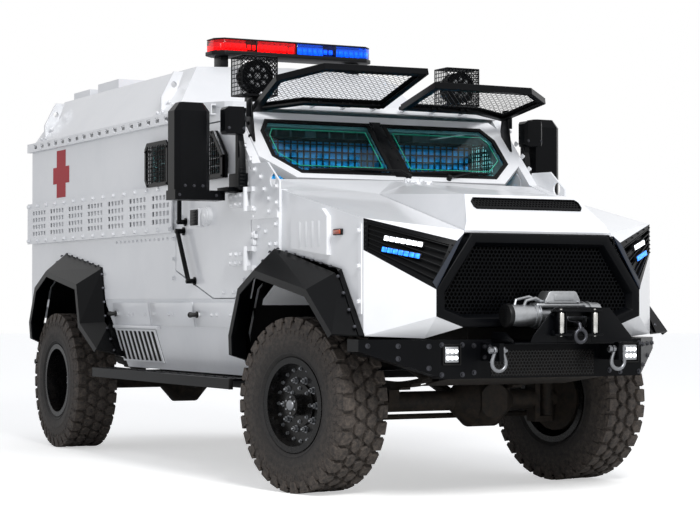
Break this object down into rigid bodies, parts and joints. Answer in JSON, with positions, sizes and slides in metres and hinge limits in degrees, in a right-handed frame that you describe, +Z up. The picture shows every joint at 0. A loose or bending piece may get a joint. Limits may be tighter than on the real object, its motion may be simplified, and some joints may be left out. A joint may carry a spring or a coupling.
{
  "type": "armoured military ambulance truck",
  "caption": "High-riding armoured 4x4 ambulance truck: faceted white body, honeycomb grille, raised windscreen guards, front winch, beacon bar and red cross.",
  "frame": {"origin": "on the ground under the middle of the vehicle's length and width", "axes": "+Z up, the front faces -Y, +X is the vehicle's left"},
  "size_m": [2.88, 6.606, 2.985],
  "materials": {
    "hull_paint": "gloss off-white paint",
    "black_coat": "satin black powder coat",
    "chassis_paint": "dusty chassis black",
    "cast_parts": "dusty cast iron",
    "bare_steel": "bright steel",
    "tyre_rubber": "dusty rubber",
    "armour_glass": "thick tinted glass",
    "lamp_lens": "clear lens over black",
    "beacon_lens": "red and blue lens",
    "trim_plastic": "matt black plastic",
    "seat_cloth": "dark seat cloth"
  },
  "bodies": {
    "hull": {"cab_front": "black_coat", "cab_roof": "hull_paint", "chassis_frame": "chassis_paint", "cowl": "hull_paint", "dashboard": "trim_plastic", "driveline": "cast_parts", "engine": "cast_parts", "fender_left": "hull_paint", "fender_right": "hull_paint", "firewall": "hull_paint", "flares_left": "black_coat", "flares_right": "black_coat", "floor": "hull_paint", "front_axle": "cast_parts", "front_bumper": "black_coat", "grille": "black_coat", "headlamps": "lamp_lens", "lifting_lugs": "hull_paint", "light_bar": "beacon_lens", "lower_side_left": "hull_paint", "lower_side_right": "hull_paint", "partition": "hull_paint", "rear_axle": "cast_parts", "rear_bumper": "chassis_paint", "rear_frame": "hull_paint", "roof": "hull_paint", "roof_rails": "hull_paint", "seats": "seat_cloth", "shackles": "bare_steel", "side_glass": "armour_glass", "side_panels": "hull_paint", "side_steps": "black_coat", "side_wall_left": "hull_paint", "side_wall_right": "hull_paint", "spotlights": "lamp_lens", "winch": "black_coat", "windscreen": "armour_glass"},
    "knuckle_left": {"knuckle_left": "cast_parts"},
    "knuckle_right": {"knuckle_right": "cast_parts"},
    "tie_rod": {"tie_rod": "chassis_paint"},
    "wheel_front_left": {"tyre_front_left": "tyre_rubber", "rim_front_left": "black_coat"},
    "wheel_front_right": {"tyre_front_right": "tyre_rubber", "rim_front_right": "black_coat"},
    "wheel_rear_left": {"tyre_rear_left": "tyre_rubber", "rim_rear_left": "black_coat"},
    "wheel_rear_right": {"tyre_rear_right": "tyre_rubber", "rim_rear_right": "black_coat"},
    "cab_door_left": {"door_left": "hull_paint", "door_glass_left": "armour_glass", "mirror_left": "black_coat"},
    "rear_leaf_left": {"rear_door_left": "hull_paint"},
    "screen_guard_left": {"guard_left": "black_coat"},
    "cab_door_right": {"door_right": "hull_paint", "door_glass_right": "armour_glass", "mirror_right": "black_coat"},
    "rear_leaf_right": {"rear_door_right": "hull_paint"},
    "screen_guard_right": {"guard_right": "black_coat"},
    "hood_lid": {"hood": "hull_paint"},
    "hatch_lid": {"roof_hatch": "hull_paint"}
  },
  "joints": [
    {"name": "steering_left", "type": "hinge", "parent": "hull", "child": "knuckle_left", "pos_m": [0.745, -1.884, 0.52055], "axis": [0, 0, 1], "range_deg": [-43.5, 20.5]},
    {"name": "steering_right", "type": "hinge", "parent": "hull", "child": "knuckle_right", "pos_m": [-0.745, -1.884, 0.52055], "axis": [0, 0, 1], "range_deg": [-43.5, 20.5]},
    {"name": "tie_rod_slide", "type": "slide", "parent": "hull", "child": "tie_rod", "axis": [1, 0, 0], "range_m": [-0.06092, 0.12917]},
    {"name": "front_wheel_spin_left", "type": "hinge", "parent": "knuckle_left", "child": "wheel_front_left", "pos_m": [0.93119, -1.84612, 0.52055], "axis": [0.9799, 0.1994, 0], "continuous": true},
    {"name": "rear_wheel_spin_left", "type": "hinge", "parent": "hull", "child": "wheel_rear_left", "pos_m": [0.92, 2.306, 0.52055], "axis": [1, 0, 0], "continuous": true},
    {"name": "cab_door_hinge_left", "type": "hinge", "parent": "hull", "child": "cab_door_left", "pos_m": [1.052, -1.229, 1.535], "axis": [0, 0, -1], "range_deg": [0, 70]},
    {"name": "rear_leaf_hinge_left", "type": "hinge", "parent": "hull", "child": "rear_leaf_left", "pos_m": [0.628, 3.106, 1.745], "axis": [0, 0, -1], "range_deg": [0, 100]},
    {"name": "screen_guard_hinge_left", "type": "hinge", "parent": "hull", "child": "screen_guard_left", "pos_m": [0.33, -1.172, 2.392], "axis": [-1, 0, 0], "range_deg": [-61.9, 15.1]},
    {"name": "front_wheel_spin_right", "type": "hinge", "parent": "knuckle_right", "child": "wheel_front_right", "pos_m": [-0.93119, -1.92188, 0.52055], "axis": [0.9799, 0.1994, 0], "continuous": true},
    {"name": "rear_wheel_spin_right", "type": "hinge", "parent": "hull", "child": "wheel_rear_right", "pos_m": [-0.92, 2.306, 0.52055], "axis": [1, 0, 0], "continuous": true},
    {"name": "cab_door_hinge_right", "type": "hinge", "parent": "hull", "child": "cab_door_right", "pos_m": [-1.052, -1.229, 1.535], "axis": [0, 0, 1], "range_deg": [0, 70]},
    {"name": "rear_leaf_hinge_right", "type": "hinge", "parent": "hull", "child": "rear_leaf_right", "pos_m": [-0.628, 3.106, 1.745], "axis": [0, 0, 1], "range_deg": [0, 100]},
    {"name": "screen_guard_hinge_right", "type": "hinge", "parent": "hull", "child": "screen_guard_right", "pos_m": [-0.33, -1.172, 2.392], "axis": [-1, 0, 0], "range_deg": [-70.7, 6.3]},
    {"name": "hood_hinge", "type": "hinge", "parent": "hull", "child": "hood_lid", "pos_m": [0, -1.584, 1.886], "axis": [-1, 0, 0], "range_deg": [0, 50]},
    {"name": "roof_hatch_hinge", "type": "hinge", "parent": "hull", "child": "hatch_lid", "pos_m": [0, 1.556, 2.825], "axis": [1, 0, 0], "range_deg": [0, 85]}
  ],
  "couplings": [
    {"joint": "steering_right", "follows": "steering_left", "ratio": 1},
    {"joint": "tie_rod_slide", "follows": "steering_left", "m_per_rad": -0.17}
  ]
}
